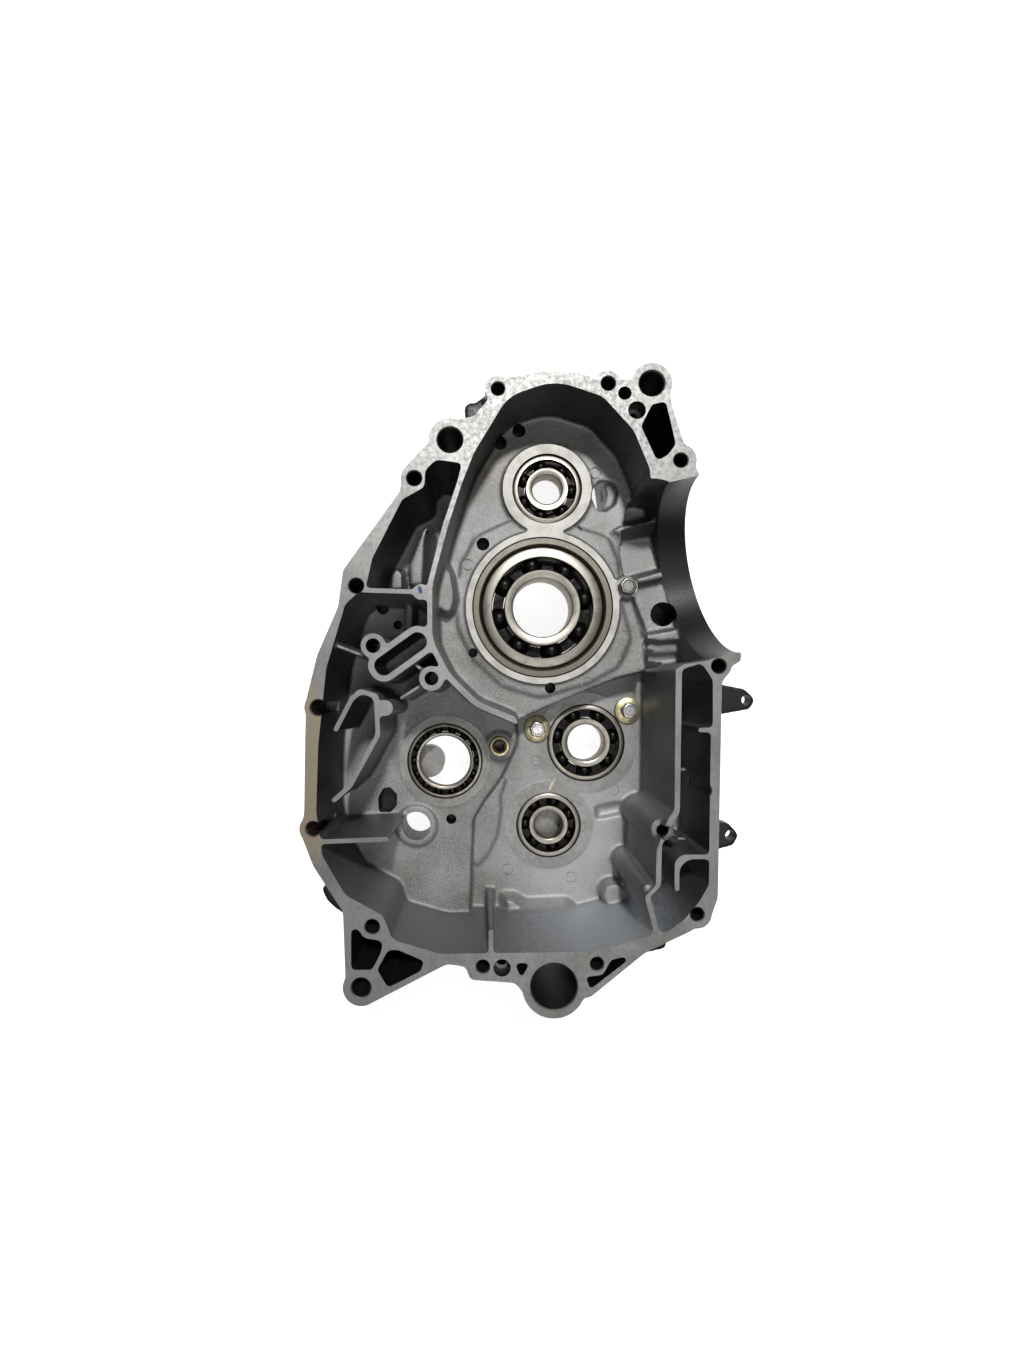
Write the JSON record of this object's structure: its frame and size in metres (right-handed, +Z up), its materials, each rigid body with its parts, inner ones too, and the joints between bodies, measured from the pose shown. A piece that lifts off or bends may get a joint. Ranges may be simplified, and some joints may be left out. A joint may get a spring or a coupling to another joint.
{
  "type": "motorcycle engine crankcase half",
  "caption": "Cast crankcase half of a single-cylinder motorcycle engine, open at its parting face, with its ball bearings seated in crank chamber and gearbox.",
  "frame": {"origin": "middle of the outer box, on the gasket face of the clutch side", "axes": "+Z up out of the parting face, +X towards the cylinder, +Y towards the engine's front"},
  "size_m": [0.217, 0.3019, 0.088],
  "materials": {
    "cast_aluminium": "blasted casting with machined faces",
    "bearing_steel": "ground",
    "ball_cage_steel": "dark polished",
    "insert_steel": "turned",
    "bright_zinc": "bright zinc",
    "yellow_zinc": "yellow passivated"
  },
  "bodies": {
    "crankcase": {"crankcase_casting": "cast_aluminium", "main_bearing_steel_insert": "insert_steel", "retainer_bolt_lower": "bright_zinc", "retainer_bolt_upper": "bright_zinc", "retainer_washer_lower": "yellow_zinc", "retainer_washer_upper": "yellow_zinc", "stop_bolt": "bright_zinc", "oil_sleeve": "yellow_zinc", "main_bearing_outer_race": "bearing_steel", "balancer_bearing_outer_race": "bearing_steel", "input_bearing_outer_race": "bearing_steel", "output_bearing_outer_race": "bearing_steel", "drum_bearing_outer_race": "bearing_steel"},
    "main_inner_race": {"main_bearing_inner_race": "bearing_steel"},
    "main_ball_cage": {"main_bearing_ball_cage": "ball_cage_steel"},
    "balancer_inner_race": {"balancer_bearing_inner_race": "bearing_steel"},
    "balancer_ball_cage": {"balancer_bearing_ball_cage": "ball_cage_steel"},
    "input_inner_race": {"input_bearing_inner_race": "bearing_steel"},
    "input_ball_cage": {"input_bearing_ball_cage": "ball_cage_steel"},
    "output_inner_race": {"output_bearing_inner_race": "bearing_steel"},
    "output_ball_cage": {"output_bearing_ball_cage": "ball_cage_steel"},
    "drum_inner_race": {"drum_bearing_inner_race": "bearing_steel"},
    "drum_ball_cage": {"drum_bearing_ball_cage": "ball_cage_steel"}
  },
  "joints": [
    {"name": "main_inner_race_spin", "type": "hinge", "parent": "crankcase", "child": "main_inner_race", "pos_m": [0.0064, 0.0421, 0.047], "axis": [0, 0, 1], "continuous": true},
    {"name": "main_ball_cage_spin", "type": "hinge", "parent": "crankcase", "child": "main_ball_cage", "pos_m": [0.0064, 0.0421, 0.047], "axis": [0, 0, 1], "continuous": true},
    {"name": "balancer_inner_race_spin", "type": "hinge", "parent": "crankcase", "child": "balancer_inner_race", "pos_m": [0.0087, 0.1026, 0.0495], "axis": [0, 0, 1], "continuous": true},
    {"name": "balancer_ball_cage_spin", "type": "hinge", "parent": "crankcase", "child": "balancer_ball_cage", "pos_m": [0.0087, 0.1026, 0.0495], "axis": [0, 0, 1], "continuous": true},
    {"name": "input_inner_race_spin", "type": "hinge", "parent": "crankcase", "child": "input_inner_race", "pos_m": [0.0325, -0.0292, 0.024], "axis": [0, 0, 1], "continuous": true},
    {"name": "input_ball_cage_spin", "type": "hinge", "parent": "crankcase", "child": "input_ball_cage", "pos_m": [0.0325, -0.0292, 0.024], "axis": [0, 0, 1], "continuous": true},
    {"name": "output_inner_race_spin", "type": "hinge", "parent": "crankcase", "child": "output_inner_race", "pos_m": [0.012, -0.0744, 0.0245], "axis": [0, 0, 1], "continuous": true},
    {"name": "output_ball_cage_spin", "type": "hinge", "parent": "crankcase", "child": "output_ball_cage", "pos_m": [0.012, -0.0744, 0.0245], "axis": [0, 0, 1], "continuous": true},
    {"name": "drum_inner_race_spin", "type": "hinge", "parent": "crankcase", "child": "drum_inner_race", "pos_m": [-0.0444, -0.0383, 0.0345], "axis": [0, 0, 1], "continuous": true},
    {"name": "drum_ball_cage_spin", "type": "hinge", "parent": "crankcase", "child": "drum_ball_cage", "pos_m": [-0.0444, -0.0383, 0.0345], "axis": [0, 0, 1], "continuous": true}
  ],
  "couplings": [
    {"joint": "main_ball_cage_spin", "follows": "main_inner_race_spin", "ratio": 0.3949},
    {"joint": "balancer_ball_cage_spin", "follows": "balancer_inner_race_spin", "ratio": 0.3837},
    {"joint": "input_ball_cage_spin", "follows": "input_inner_race_spin", "ratio": 0.3861},
    {"joint": "output_ball_cage_spin", "follows": "output_inner_race_spin", "ratio": 0.3819},
    {"joint": "drum_ball_cage_spin", "follows": "drum_inner_race_spin", "ratio": 0.4403}
  ]
}
